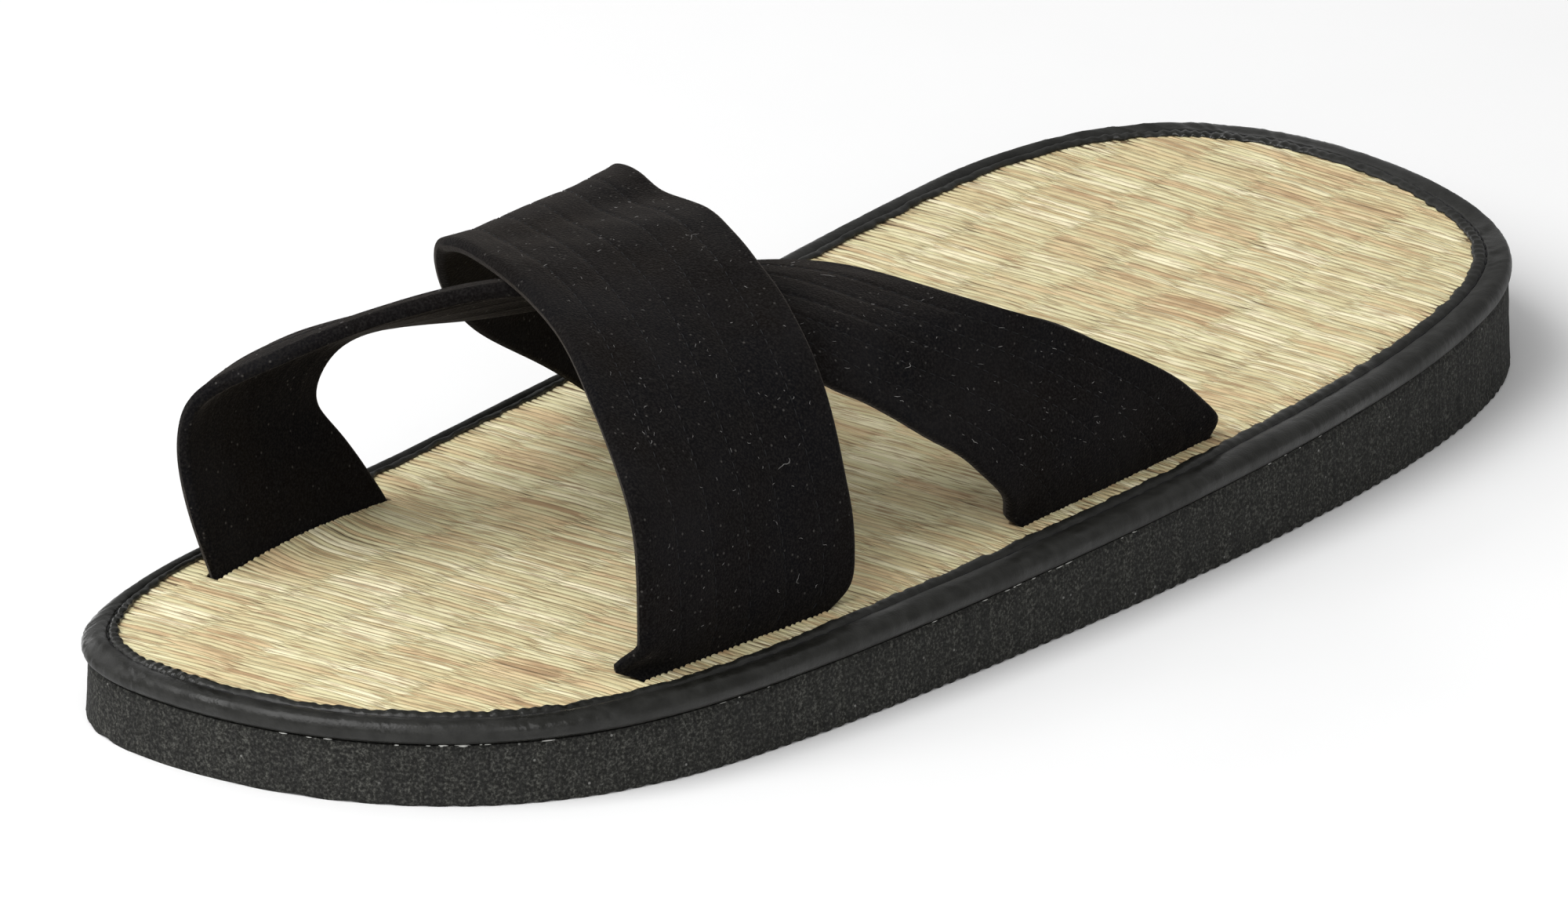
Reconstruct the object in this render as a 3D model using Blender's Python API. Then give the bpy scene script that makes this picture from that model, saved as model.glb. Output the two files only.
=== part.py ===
import math

import bmesh
import bpy
import numpy as np

for old in list(bpy.data.objects):
    bpy.data.objects.remove(old)

# Sizes in metres. The toe points to -Y, the heel to +Y, the outer side of the foot to +X.
MM = 0.001
HALF_LENGTH = 139.1 * MM
HALF_WIDTH = 54.2 * MM
TOE_THICKNESS = 9.3 * MM
MIDDLE_THICKNESS = 11.6 * MM
HEEL_THICKNESS = 15.5 * MM
SOLE_FLARE = 0.4 * MM
SOLE_EDGE = 0.6 * MM
FIT_GAP = 0.3 * MM
TAPE = 0.7 * MM
TAPE_BULGE = 0.9 * MM
TAPE_TOP_WIDTH = 5.4 * MM
TAPE_UNDER_WIDTH = 4.2 * MM
INSOLE_RISE = 2.8 * MM
SLOT_INSET = 12.2 * MM
STRAP_RISE = 45.5 * MM
STRAP_THICKNESS = 2.4 * MM
SLOT_ROOM = 0.4 * MM
SLOT_SPREAD = HALF_WIDTH - SLOT_INSET

OUTLINE_STEPS = 44
STRAP_STEPS = 34
STRAP_COLUMNS = 8
SHARP_ANGLE = math.radians(40)

# The sole's plan, from the toe along the outer side to the heel and back.
# Shares of the half width and of the half length.
PLAN_COLUMNS = ("across", "along")
PLAN = (
    (-0.30, -1.000),
    (0.18, -0.971),
    (0.57, -0.873),
    (0.80, -0.729),
    (0.92, -0.517),
    (0.98, -0.216),
    (1.00, 0.108),
    (0.965, 0.431),
    (0.86, 0.675),
    (0.64, 0.862),
    (0.22, 0.966),
    (-0.30, 1.000),
    (-0.74, 0.941),
    (-0.96, 0.776),
    (-1.00, 0.575),
    (-0.96, 0.251),
    (-0.915, -0.144),
    (-0.895, -0.503),
    (-0.865, -0.790),
    (-0.68, -0.954),
)

# The two edges of each strap, from its front slot over the foot to its rear slot.
# Across is a share of the slots' spread, along of the half length, rise of the straps' height.
EDGE_COLUMNS = ("across", "along", "rise")
OVER_FRONT = (
    (0.88, -0.675, 0),
    (0.93, -0.692, 0.25),
    (0.93, -0.696, 0.5),
    (0.86, -0.688, 0.65),
    (0.5, -0.625, 0.89),
    (0.15, -0.56, 1),
    (-0.21, -0.51, 1.05),
    (-0.5, -0.467, 1.04),
    (-0.72, -0.432, 0.97),
    (-0.8, -0.409, 0.87),
    (-0.88, -0.366, 0.69),
    (-0.92, -0.3, 0.48),
    (-0.945, -0.19, 0.25),
    (-0.975, -0.075, 0),
)
OVER_REAR = (
    (0.985, -0.395, 0),
    (1, -0.364, 0.06),
    (1, -0.358, 0.15),
    (0.975, -0.359, 0.31),
    (0.89, -0.359, 0.58),
    (0.74, -0.345, 0.79),
    (0.52, -0.309, 0.9),
    (0.29, -0.273, 0.98),
    (0.08, -0.237, 1),
    (-0.11, -0.208, 1.01),
    (-0.36, -0.178, 0.975),
    (-0.48, -0.165, 0.99),
    (-0.62, -0.144, 0.976),
    (-0.74, -0.119, 0.925),
    (-0.85, -0.076, 0.83),
    (-0.95, 0, 0.7),
    (-1.03, 0.12, 0.36),
    (-1.05, 0.215, 0),
)
UNDER_FRONT = (
    (-0.985, -0.726, 0),
    (-1.045, -0.752, 0.34),
    (-1.055, -0.748, 0.59),
    (-0.98, -0.733, 0.7),
    (-0.77, -0.7, 0.83),
    (-0.5, -0.589, 0.95),
    (-0.2, -0.505, 1),
    (0.1, -0.45, 0.968),
    (0.4, -0.397, 0.89),
    (0.66, -0.348, 0.765),
    (0.8, -0.306, 0.645),
    (0.848, -0.279, 0.593),
    (0.902, -0.255, 0.536),
    (0.957, -0.231, 0.47),
    (1.007, -0.205, 0.4),
    (1.04, -0.173, 0.313),
    (1.055, -0.143, 0.214),
    (1.048, -0.113, 0.12),
    (1.04, -0.085, 0),
)
UNDER_REAR = (
    (-0.985, -0.437, 0),
    (-1.035, -0.49, 0.25),
    (-1.075, -0.52, 0.4),
    (-1.03, -0.522, 0.56),
    (-0.92, -0.492, 0.685),
    (-0.605, -0.431, 0.75),
    (-0.3, -0.325, 0.785),
    (0.03, -0.195, 0.82),
    (0.33, -0.122, 0.81),
    (0.68, -0.093, 0.77),
    (0.92, -0.05, 0.7),
    (1, 0.057, 0.515),
    (1.09, 0.155, 0.32),
    (1.085, 0.225, 0.14),
    (1.075, 0.248, 0.06),
    (1.055, 0.24, 0),
)


def column(rows, columns, name):
    return np.array([row[columns.index(name)] for row in rows], float)


def spline(points, count, closed):
    """Points spaced evenly along a smooth curve through the given points."""
    points = np.asarray(points, float)
    if closed:
        points = np.vstack([points, points[:1]])
    gaps = np.linalg.norm(np.diff(points, axis=0), axis=1) ** 0.5
    knots = np.concatenate([[0.0], np.cumsum(gaps)])
    size = len(points)
    lhs = np.zeros((size, size))
    rhs = np.zeros((size, points.shape[1]))
    for i in range(1, size - 1):
        lhs[i, i - 1] = gaps[i - 1]
        lhs[i, i] = 2 * (gaps[i - 1] + gaps[i])
        lhs[i, i + 1] = gaps[i]
        rhs[i] = 6 * ((points[i + 1] - points[i]) / gaps[i] - (points[i] - points[i - 1]) / gaps[i - 1])
    lhs[0, 0] = 1.0
    lhs[-1, -1] = 1.0
    if closed:
        lhs[0, 0] = 2 * (gaps[-1] + gaps[0])
        lhs[0, 1] = gaps[0]
        lhs[0, -2] = gaps[-1]
        rhs[0] = 6 * ((points[1] - points[0]) / gaps[0] - (points[0] - points[-2]) / gaps[-1])
        lhs[-1, 0] = -1.0
    bends = np.linalg.solve(lhs, rhs)
    fine = np.linspace(0.0, knots[-1], 40 * size)
    place = np.clip(np.searchsorted(knots, fine, side="right") - 1, 0, size - 2)
    step = gaps[place][:, None]
    ahead = (fine - knots[place])[:, None] / step
    behind = 1.0 - ahead
    curve = behind * points[place] + ahead * points[place + 1]
    curve += step**2 / 6 * ((behind**3 - behind) * bends[place] + (ahead**3 - ahead) * bends[place + 1])
    run = np.concatenate([[0.0], np.cumsum(np.linalg.norm(np.diff(curve, axis=0), axis=1))])
    wanted = np.linspace(0.0, run[-1], count)
    return np.column_stack([np.interp(wanted, run, curve[:, axis]) for axis in range(points.shape[1])])


def sole_top(along):
    """Height of the outsole's upper face at a place along its length."""
    share = along / HALF_LENGTH
    slope = (HEEL_THICKNESS - TOE_THICKNESS) / 2
    sag = (HEEL_THICKNESS + TOE_THICKNESS) / 2 - MIDDLE_THICKNESS
    return MIDDLE_THICKNESS + slope * share + sag * share**2


def plan_loop():
    """The outline as matched pairs of points, with the way out from each of them."""
    across = column(PLAN, PLAN_COLUMNS, "across") * HALF_WIDTH
    along = column(PLAN, PLAN_COLUMNS, "along") * HALF_LENGTH
    curve = spline(np.column_stack([across, along]), 2001, True)[:-1]
    curve = np.roll(curve, -int(curve[:, 1].argmin()), axis=0)
    heel = int(curve[:, 1].argmax())
    turn = np.roll(curve, -1, axis=0) - np.roll(curve, 1, axis=0)
    out = np.column_stack([turn[:, 1], -turn[:, 0]])
    out /= np.linalg.norm(out, axis=1)[:, None]
    steps = -np.cos(np.pi * np.arange(1, OUTLINE_STEPS) / OUTLINE_STEPS)
    middle = (curve[0, 1] + curve[heel, 1]) / 2
    half = (curve[heel, 1] - curve[0, 1]) / 2
    wanted = middle + half * steps
    near = np.searchsorted(curve[:heel, 1], wanted)
    back = curve[heel:][::-1]
    far = len(curve) - 1 - np.searchsorted(back[:, 1], wanted)
    picked = np.concatenate([[0], near, [heel], far[::-1]])
    return curve[picked], out[picked]


LOOP, OUT = plan_loop()


def ring_at(inset, rise):
    """The outline moved in by a distance, at a height above the outsole."""
    flat = LOOP - OUT * inset
    return np.column_stack([flat, sole_top(flat[:, 1]) + rise])


def cap_faces(start, upward):
    """Faces across a ring, each between two matched pairs of its points."""
    count = len(LOOP)
    faces = []
    for step in range(OUTLINE_STEPS):
        left = start + step
        right = start + step + 1
        left_far = start + (count - step) % count
        right_far = start + (count - step - 1) % count
        if step == 0:
            face = [left, right, right_far]
        elif step == OUTLINE_STEPS - 1:
            face = [left, right, left_far]
        else:
            face = [left, right, right_far, left_far]
        faces.append(face if upward else face[::-1])
    return faces


def material(name, colour, rough):
    made = bpy.data.materials.new(name)
    made.use_nodes = True
    shader = made.node_tree.nodes["Principled BSDF"]
    shader.inputs["Base Color"].default_value = (*colour, 1.0)
    shader.inputs["Roughness"].default_value = rough
    return made


def add_mesh(name, points, faces, made, smooth):
    """One object from points and faces, with its faces turned outward."""
    mesh = bpy.data.meshes.new(name)
    mesh.from_pydata(points.tolist(), [], faces)
    work = bmesh.new()
    work.from_mesh(mesh)
    bmesh.ops.recalc_face_normals(work, faces=work.faces)
    work.to_mesh(mesh)
    work.free()
    item = bpy.data.objects.new(name, mesh)
    bpy.context.scene.collection.objects.link(item)
    if made is not None:
        mesh.materials.append(made)
    if smooth:
        mesh.shade_smooth()
        mesh.set_sharp_from_angle(angle=SHARP_ANGLE)
    return item


def stacked(name, rings, made):
    """A closed solid from rings, from the lowest face round to the highest."""
    count = len(LOOP)
    points = np.concatenate(rings)
    faces = cap_faces(0, False)
    for ring in range(len(rings) - 1):
        low = ring * count
        high = low + count
        for i in range(count):
            j = (i + 1) % count
            faces.append([low + i, low + j, high + j, high + i])
    faces += cap_faces((len(rings) - 1) * count, True)
    return add_mesh(name, points, faces, made, True)


def swept_ring(name, section, made):
    """A closed band round the outline from a section of insets and heights."""
    count = len(LOOP)
    rings = [ring_at(inset, rise) for inset, rise in section]
    points = np.concatenate(rings)
    faces = []
    for ring in range(len(rings)):
        low = ring * count
        high = (ring + 1) % len(rings) * count
        for i in range(count):
            j = (i + 1) % count
            faces.append([low + i, low + j, high + j, high + i])
    return add_mesh(name, points, faces, made, True)


def strap_edge(rows):
    """One edge of a strap, with a straight foot that goes down through the insole."""
    across = column(rows, EDGE_COLUMNS, "across") * SLOT_SPREAD
    along = column(rows, EDGE_COLUMNS, "along") * HALF_LENGTH
    rise = column(rows, EDGE_COLUMNS, "rise") * STRAP_RISE
    height = sole_top(along) + INSOLE_RISE + rise
    curve = spline(np.column_stack([across, along, height]), STRAP_STEPS, False)
    first = curve[0].copy()
    last = curve[-1].copy()
    first[2] = sole_top(first[1]) + FIT_GAP
    last[2] = sole_top(last[1]) + FIT_GAP
    return np.vstack([first, curve, last])


def strap(name, front_rows, rear_rows, made):
    """A strap of real thickness between its two edges."""
    front = strap_edge(front_rows)
    rear = strap_edge(rear_rows)
    shares = np.linspace(0.0, 1.0, STRAP_COLUMNS)
    middle = front[:, None, :] * (1 - shares)[None, :, None] + rear[:, None, :] * shares[None, :, None]
    along_run = np.gradient(middle, axis=0)
    across_run = np.gradient(middle, axis=1)
    out = np.cross(along_run, across_run)
    out /= np.linalg.norm(out, axis=2)[:, :, None]
    if out[len(front) // 2, :, 2].mean() < 0:
        out = -out
    out[0] = out[1]
    out[-1] = out[-2]
    for end, inner in ((0, 1), (1, 1), (-1, -2), (-2, -2)):
        level = out[inner].copy()
        level[:, 2] = 0.0
        out[end] = level / np.linalg.norm(level, axis=1)[:, None]
    edge = 1.0 - 0.45 * np.abs(2 * shares - 1) ** 6
    inside = middle - out * (STRAP_THICKNESS * edge)[None, :, None]
    rows = len(front)
    points = np.concatenate([middle.reshape(-1, 3), inside.reshape(-1, 3)])
    base = rows * STRAP_COLUMNS
    faces = []
    for i in range(rows - 1):
        for j in range(STRAP_COLUMNS - 1):
            a = i * STRAP_COLUMNS + j
            quad = [a, a + 1, a + STRAP_COLUMNS + 1, a + STRAP_COLUMNS]
            faces.append(quad)
            faces.append([base + corner for corner in quad[::-1]])
        for j in (0, STRAP_COLUMNS - 1):
            a = i * STRAP_COLUMNS + j
            faces.append([a, a + STRAP_COLUMNS, base + a + STRAP_COLUMNS, base + a])
    for i in (0, rows - 1):
        for j in range(STRAP_COLUMNS - 1):
            a = i * STRAP_COLUMNS + j
            faces.append([a, a + 1, base + a + 1, base + a])
    return add_mesh(name, points, faces, made, True), middle, inside


def slot_cutter(name, outer, inner):
    """A straight-sided block round a strap's foot, longer than the insole is thick."""
    way = outer[-1] - outer[0]
    way[2] = 0.0
    way /= np.linalg.norm(way)
    middle = (outer + inner) / 2
    side = outer - inner
    side[:, 2] = 0.0
    side /= np.linalg.norm(side, axis=1)[:, None]
    reach = STRAP_THICKNESS / 2 + SLOT_ROOM
    first = middle[0] - way * SLOT_ROOM
    last = middle[-1] + way * SLOT_ROOM
    spine = np.vstack([first, middle[1:-1], last])
    ring = np.concatenate([spine + side * reach, (spine - side * reach)[::-1]])
    low = ring.copy()
    low[:, 2] = sole_top(ring[:, 1]) - INSOLE_RISE
    high = ring.copy()
    high[:, 2] = sole_top(ring[:, 1]) + 3 * INSOLE_RISE
    count = len(ring)
    faces = [list(range(count))[::-1], list(range(count, 2 * count))]
    for i in range(count):
        j = (i + 1) % count
        faces.append([i, j, count + j, count + i])
    cutter = add_mesh(name, np.concatenate([low, high]), faces, None, False)
    cutter.hide_render = True
    cutter.display_type = "WIRE"
    return cutter


def join(target, other, how):
    made = target.modifiers.new(how.lower() + "_" + other.name, "BOOLEAN")
    made.operation = how
    made.solver = "EXACT"
    made.object = other


foam = material("outsole_foam", (0.012, 0.012, 0.013), 0.85)
rush = material("insole_rush", (0.62, 0.50, 0.30), 0.60)
tape = material("binding_tape", (0.010, 0.010, 0.011), 0.40)
velvet = material("upper_velvet", (0.006, 0.006, 0.008), 0.95)

# The outsole, flat underneath and thicker at the heel.
flat_edge = LOOP - OUT * (SOLE_EDGE - SOLE_FLARE)
flat_side = LOOP + OUT * SOLE_FLARE
ground = np.column_stack([flat_edge, np.zeros(len(LOOP))])
above_ground = np.column_stack([flat_side, np.full(len(LOOP), SOLE_EDGE)])
stacked("outsole", [ground, above_ground, ring_at(0.0, -SOLE_EDGE / 2), ring_at(SOLE_EDGE / 2, 0.0)], foam)

# The insole board with its rush cover, its edge tucked into the binding.
flange_low = 2 * FIT_GAP + TAPE
shoulder = TAPE_UNDER_WIDTH + FIT_GAP
tucked_edge = TAPE + 1.5 * FIT_GAP
insole = stacked(
    "insole",
    [
        ring_at(shoulder, FIT_GAP),
        ring_at(shoulder, flange_low),
        ring_at(tucked_edge, flange_low),
        ring_at(tucked_edge, INSOLE_RISE),
    ],
    rush,
)

# The binding folded round the insole's edge.
over = INSOLE_RISE + FIT_GAP
crest = over + TAPE
waist = (FIT_GAP + crest) / 2
BINDING_SECTION = (
    (TAPE_UNDER_WIDTH, FIT_GAP),
    (TAPE, FIT_GAP),
    (-0.6 * TAPE_BULGE, FIT_GAP + TAPE),
    (-TAPE_BULGE, waist),
    (-0.7 * TAPE_BULGE, over - 0.2 * TAPE),
    (0.4 * TAPE, crest - 0.3 * TAPE),
    (2.0 * TAPE, crest),
    (0.6 * TAPE_TOP_WIDTH, crest),
    (TAPE_TOP_WIDTH - 0.5 * TAPE, crest - 0.2 * TAPE),
    (TAPE_TOP_WIDTH, crest - 0.6 * TAPE),
    (TAPE_TOP_WIDTH, over),
    (1.8 * TAPE, over),
    (0.6 * TAPE, over - 0.7 * TAPE),
    (0.4 * TAPE, waist),
    (0.7 * TAPE, FIT_GAP + 1.6 * TAPE),
    (1.8 * TAPE, FIT_GAP + TAPE),
    (TAPE_UNDER_WIDTH, FIT_GAP + TAPE),
)
swept_ring("binding", BINDING_SECTION, tape)

# The upper: two straps, one over the other, joined where they cross.
upper, over_out, over_in = strap("upper", OVER_FRONT, OVER_REAR, velvet)
lower, under_out, under_in = strap("under_strap", UNDER_FRONT, UNDER_REAR, velvet)
lower.hide_render = True
lower.display_type = "WIRE"
join(upper, lower, "UNION")

# Four slots through the insole for the straps' ends.
for label, outer, inner in (("over", over_out, over_in), ("under", under_out, under_in)):
    for end, row in (("front", 0), ("rear", -1)):
        join(insole, slot_cutter("slot_" + label + "_" + end, outer[row], inner[row]), "DIFFERENCE")
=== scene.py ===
import math

import bpy
import numpy as np
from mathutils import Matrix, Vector


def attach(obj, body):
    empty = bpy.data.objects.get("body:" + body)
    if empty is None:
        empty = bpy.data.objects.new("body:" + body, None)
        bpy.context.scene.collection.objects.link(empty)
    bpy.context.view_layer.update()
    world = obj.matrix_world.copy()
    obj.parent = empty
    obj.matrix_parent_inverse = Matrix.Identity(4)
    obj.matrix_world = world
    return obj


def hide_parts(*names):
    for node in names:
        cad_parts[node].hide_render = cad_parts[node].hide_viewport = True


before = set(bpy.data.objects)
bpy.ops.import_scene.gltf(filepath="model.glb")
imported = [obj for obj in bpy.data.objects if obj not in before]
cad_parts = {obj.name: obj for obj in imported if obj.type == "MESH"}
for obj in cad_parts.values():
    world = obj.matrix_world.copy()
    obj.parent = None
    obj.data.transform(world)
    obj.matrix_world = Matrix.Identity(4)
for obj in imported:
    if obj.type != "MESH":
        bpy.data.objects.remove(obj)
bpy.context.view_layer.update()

# Sizes in metres, the same as in the solids.
MM = 0.001
HALF_LENGTH = 139.1 * MM
HALF_WIDTH = 54.2 * MM
TOE_THICKNESS = 9.3 * MM
MIDDLE_THICKNESS = 11.6 * MM
HEEL_THICKNESS = 15.5 * MM
SOLE_FLARE = 0.4 * MM
SOLE_EDGE = 0.6 * MM
FIT_GAP = 0.3 * MM
INSOLE_RISE = 2.8 * MM
SLOT_INSET = 12.2 * MM
STRAP_RISE = 45.5 * MM
STRAP_THICKNESS = 2.4 * MM
SLOT_SPREAD = HALF_WIDTH - SLOT_INSET

# The sole's plan as shares of the half width and the half length.
PLAN = (
    (-0.3, -1.0), (0.18, -0.971), (0.57, -0.873),
    (0.8, -0.729), (0.92, -0.517), (0.98, -0.216),
    (1.0, 0.108), (0.965, 0.431), (0.86, 0.675),
    (0.64, 0.862), (0.22, 0.966), (-0.3, 1.0),
    (-0.74, 0.941), (-0.96, 0.776), (-1.0, 0.575),
    (-0.96, 0.251), (-0.915, -0.144), (-0.895, -0.503),
    (-0.865, -0.79), (-0.68, -0.954),
)

# The straps' edges: across as a share of the slots' spread, along of the half
# length, and the rise above the insole of the straps' height.
OVER_FRONT = (
    (0.88, -0.675, 0), (0.93, -0.692, 0.25), (0.93, -0.696, 0.5),
    (0.86, -0.688, 0.65), (0.5, -0.625, 0.89), (0.15, -0.56, 1),
    (-0.21, -0.51, 1.05), (-0.5, -0.467, 1.04), (-0.72, -0.432, 0.97),
    (-0.8, -0.409, 0.87), (-0.88, -0.366, 0.69), (-0.92, -0.3, 0.48),
    (-0.945, -0.19, 0.25), (-0.975, -0.075, 0),
)
OVER_REAR = (
    (0.985, -0.395, 0), (1, -0.364, 0.06), (1, -0.358, 0.15),
    (0.975, -0.359, 0.31), (0.89, -0.359, 0.58), (0.74, -0.345, 0.79),
    (0.52, -0.309, 0.9), (0.29, -0.273, 0.98), (0.08, -0.237, 1),
    (-0.11, -0.208, 1.01), (-0.36, -0.178, 0.975), (-0.48, -0.165, 0.99),
    (-0.62, -0.144, 0.976), (-0.74, -0.119, 0.925), (-0.85, -0.076, 0.83),
    (-0.95, 0, 0.7), (-1.03, 0.12, 0.36), (-1.05, 0.215, 0),
)
UNDER_FRONT = (
    (-0.985, -0.726, 0), (-1.045, -0.752, 0.34), (-1.055, -0.748, 0.59),
    (-0.98, -0.733, 0.7), (-0.77, -0.7, 0.83), (-0.5, -0.589, 0.95),
    (-0.2, -0.505, 1), (0.1, -0.45, 0.968), (0.4, -0.397, 0.89),
    (0.66, -0.348, 0.765), (0.8, -0.306, 0.645), (0.848, -0.279, 0.593),
    (0.902, -0.255, 0.536), (0.957, -0.231, 0.47), (1.007, -0.205, 0.4),
    (1.04, -0.173, 0.313), (1.055, -0.143, 0.214), (1.048, -0.113, 0.12),
    (1.04, -0.085, 0),
)
UNDER_REAR = (
    (-0.985, -0.437, 0), (-1.035, -0.49, 0.25), (-1.075, -0.52, 0.4),
    (-1.03, -0.522, 0.56), (-0.92, -0.492, 0.685), (-0.605, -0.431, 0.75),
    (-0.3, -0.325, 0.785), (0.03, -0.195, 0.82), (0.33, -0.122, 0.81),
    (0.68, -0.093, 0.77), (0.92, -0.05, 0.7), (1, 0.057, 0.515),
    (1.09, 0.155, 0.32), (1.085, 0.225, 0.14), (1.075, 0.248, 0.06),
    (1.055, 0.24, 0),
)

# Round the rim from the toe by the near side: the share of the way, how wide the
# tape shows on top and how far it stands out over the foam.
RIM_SHAPE = (
    (0, 1, 1),
    (0.1, 0.95, 1),
    (0.15, 1.05, 1),
    (0.18, 1.16, 1),
    (0.34, 1.14, 1),
    (0.38, 1.03, 1),
    (0.41, 0.98, 0.9),
    (0.44, 1, 0.5),
    (0.48, 1.04, 0.35),
    (0.53, 1.09, 0.35),
    (0.55, 1.04, 0.5),
    (0.57, 0.9, 0.8),
    (0.592, 0.66, 1),
    (0.67, 0.63, 1),
    (0.74, 0.42, 1),
    (0.79, 0.34, 1),
    (0.9, 0.36, 1),
    (0.935, 0.46, 1.3),
    (0.952, 0.64, 1.9),
    (0.97, 0.82, 1.7),
    (0.985, 0.93, 1.2),
    (1, 1, 1),
)

# How finely curves are worked out, and how many values a soft noise holds.
CURVE_STEPS = 200
DRIFT_CELLS = 4096


def spline(points, count, closed):
    """Points spaced evenly along a smooth curve through the given points."""
    points = np.asarray(points, float)
    if closed:
        points = np.vstack([points, points[:1]])
    gaps = np.linalg.norm(np.diff(points, axis=0), axis=1) ** 0.5
    slopes = np.diff(points, axis=0) / gaps[:, None]
    knots = np.concatenate([[0.0], np.cumsum(gaps)])
    size = len(points)
    lhs = np.zeros((size, size))
    rhs = np.zeros((size, points.shape[1]))
    for i in range(1, size - 1):
        lhs[i, i - 1] = gaps[i - 1]
        lhs[i, i] = 2 * (gaps[i - 1] + gaps[i])
        lhs[i, i + 1] = gaps[i]
        rhs[i] = 6 * (slopes[i] - slopes[i - 1])
    lhs[0, 0] = 1.0
    lhs[-1, -1] = 1.0
    if closed:
        lhs[0, 0] = 2 * (gaps[-1] + gaps[0])
        lhs[0, 1] = gaps[0]
        lhs[0, -2] = gaps[-1]
        rhs[0] = 6 * (slopes[0] - slopes[-1])
        lhs[-1, 0] = -1.0
    bends = np.linalg.solve(lhs, rhs)
    fine = np.linspace(0.0, knots[-1], CURVE_STEPS * size)
    place = np.clip(np.searchsorted(knots, fine, side="right") - 1, 0, size - 2)
    step = gaps[place][:, None]
    ahead = (fine - knots[place])[:, None] / step
    behind = 1.0 - ahead
    curve = behind * points[place] + ahead * points[place + 1]
    curve += step**2 / 6 * (behind**3 - behind) * bends[place]
    curve += step**2 / 6 * (ahead**3 - ahead) * bends[place + 1]
    run = run_along(curve)
    wanted = np.linspace(0.0, run[-1], count)
    return np.column_stack([np.interp(wanted, run, column) for column in curve.T])


def run_along(path):
    """The length run from a path's start to each of its points."""
    return np.concatenate([[0.0], np.cumsum(np.linalg.norm(np.diff(path, axis=0), axis=1))])


def sole_top(along):
    """Height of the outsole's upper face at a place along its length."""
    share = along / HALF_LENGTH
    slope = (HEEL_THICKNESS - TOE_THICKNESS) / 2
    sag = (HEEL_THICKNESS + TOE_THICKNESS) / 2 - MIDDLE_THICKNESS
    return MIDDLE_THICKNESS + slope * share + sag * share**2


def smooth(value, low, high):
    """A soft step from 0 at low to 1 at high."""
    share = np.clip((value - low) / (high - low), 0.0, 1.0)
    return share * share * (3 - 2 * share)


def drift(place, spacing, seed, around=None):
    """Soft noise from -1 to 1 along a length, which closes where around is given."""
    cells = DRIFT_CELLS if around is None else max(2, round(around / spacing))
    step = spacing if around is None else around / cells
    values = np.random.default_rng(seed).uniform(-1, 1, cells)
    first = np.floor(place / step).astype(int)
    share = smooth(place / step - first, 0.0, 1.0)
    return values[first % cells] * (1 - share) + values[(first + 1) % cells] * share


def outline(count):
    """The sole's outline from the toe, the way out from it, and the length run."""
    plan = np.array(PLAN) * (HALF_WIDTH, HALF_LENGTH)
    curve = spline(plan, count + 1, True)[:-1]
    curve = np.roll(curve, -int(curve[:, 1].argmin()), axis=0)
    turn = np.roll(curve, -1, axis=0) - np.roll(curve, 1, axis=0)
    out = np.column_stack([turn[:, 1], -turn[:, 0]])
    out /= np.linalg.norm(out, axis=1)[:, None]
    steps = np.linalg.norm(np.roll(curve, -1, axis=0) - curve, axis=1)
    run = np.concatenate([[0.0], np.cumsum(steps)[:-1]])
    return curve, out, run, float(steps.sum())


def rim_shape(share):
    """The tape's width and overhang, as shares, at shares of the way round."""
    ways, widths, overhangs = np.transpose(RIM_SHAPE)
    return np.interp(share, ways, widths), np.interp(share, ways, overhangs)


def add_object(name, data):
    item = bpy.data.objects.new(name, data)
    bpy.context.scene.collection.objects.link(item)
    return item


def add_piece(name, points, faces, made, sharp=None, marks=None):
    """A mesh piece that rides on the body, with the given material."""
    mesh = bpy.data.meshes.new(name)
    mesh.from_pydata(np.asarray(points).tolist(), [], faces)
    mesh.materials.append(made)
    mesh.shade_smooth()
    if sharp is not None:
        mesh.set_sharp_from_angle(angle=math.radians(sharp))
    for label, values in (marks or {}).items():
        mark = mesh.attributes.new(label, "FLOAT", "POINT")
        mark.data.foreach_set("value", np.asarray(values, np.float32))
    item = add_object(name, mesh)
    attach(item, "root")
    return item


def tube_faces(rings, sides, start=0, closed=False):
    """Faces of a tube of rings, closed into a loop or with a cap at each end."""
    faces = []
    for i in range(rings if closed else rings - 1):
        low = start + i * sides
        high = start + (i + 1) % rings * sides
        for j in range(sides):
            k = (j + 1) % sides
            faces.append((low + j, low + k, high + k, high + j))
    if not closed:
        faces.append(tuple(start + j for j in range(sides))[::-1])
        faces.append(tuple(start + (rings - 1) * sides + j for j in range(sides)))
    return faces


# Materials. Colours are in linear light, and scales count features per metre.
VELVET_WARM = (0.004, 0.003, 0.0026)
VELVET_COOL = (0.0032, 0.0032, 0.004)
VELVET_RUBBED = (0.0095, 0.009, 0.01)
VELVET_PILE = (0.0125, 0.0115, 0.011)
VELVET_SPECK = (0.05, 0.047, 0.044)
FOAM_PORE = (0.007, 0.007, 0.006)
FOAM_BODY = (0.026, 0.026, 0.023)
FOAM_GRAIN = (0.09, 0.09, 0.08)
FOAM_STREAK = (0.011, 0.011, 0.011)
FOAM_SPECK = (0.2, 0.2, 0.19)
TAPE_PLAIN = (0.007, 0.007, 0.0055)
TAPE_SCUFF = (0.0175, 0.0175, 0.0155)
RUSH_TONES = (
    (0.05, (0.42, 0.285, 0.155)),
    (0.24, (0.64, 0.495, 0.285)),
    (0.42, (0.6, 0.51, 0.29)),
    (0.62, (0.635, 0.588, 0.35)),
    (0.88, (0.81, 0.74, 0.505)),
)
RUSH_FIBRE = (0.33, 0.22, 0.115)
# Pale fibres, partly a painted highlight along the strands.
RUSH_PALE_FIBRE_AND_GLINT = (0.86, 0.79, 0.56)
RUSH_THREAD = (0.26, 0.17, 0.09)
# Painted shade, laid on the strands' sides and where they dip under.
RUSH_PAINTED_SHADE = (0.17, 0.11, 0.055)
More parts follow.
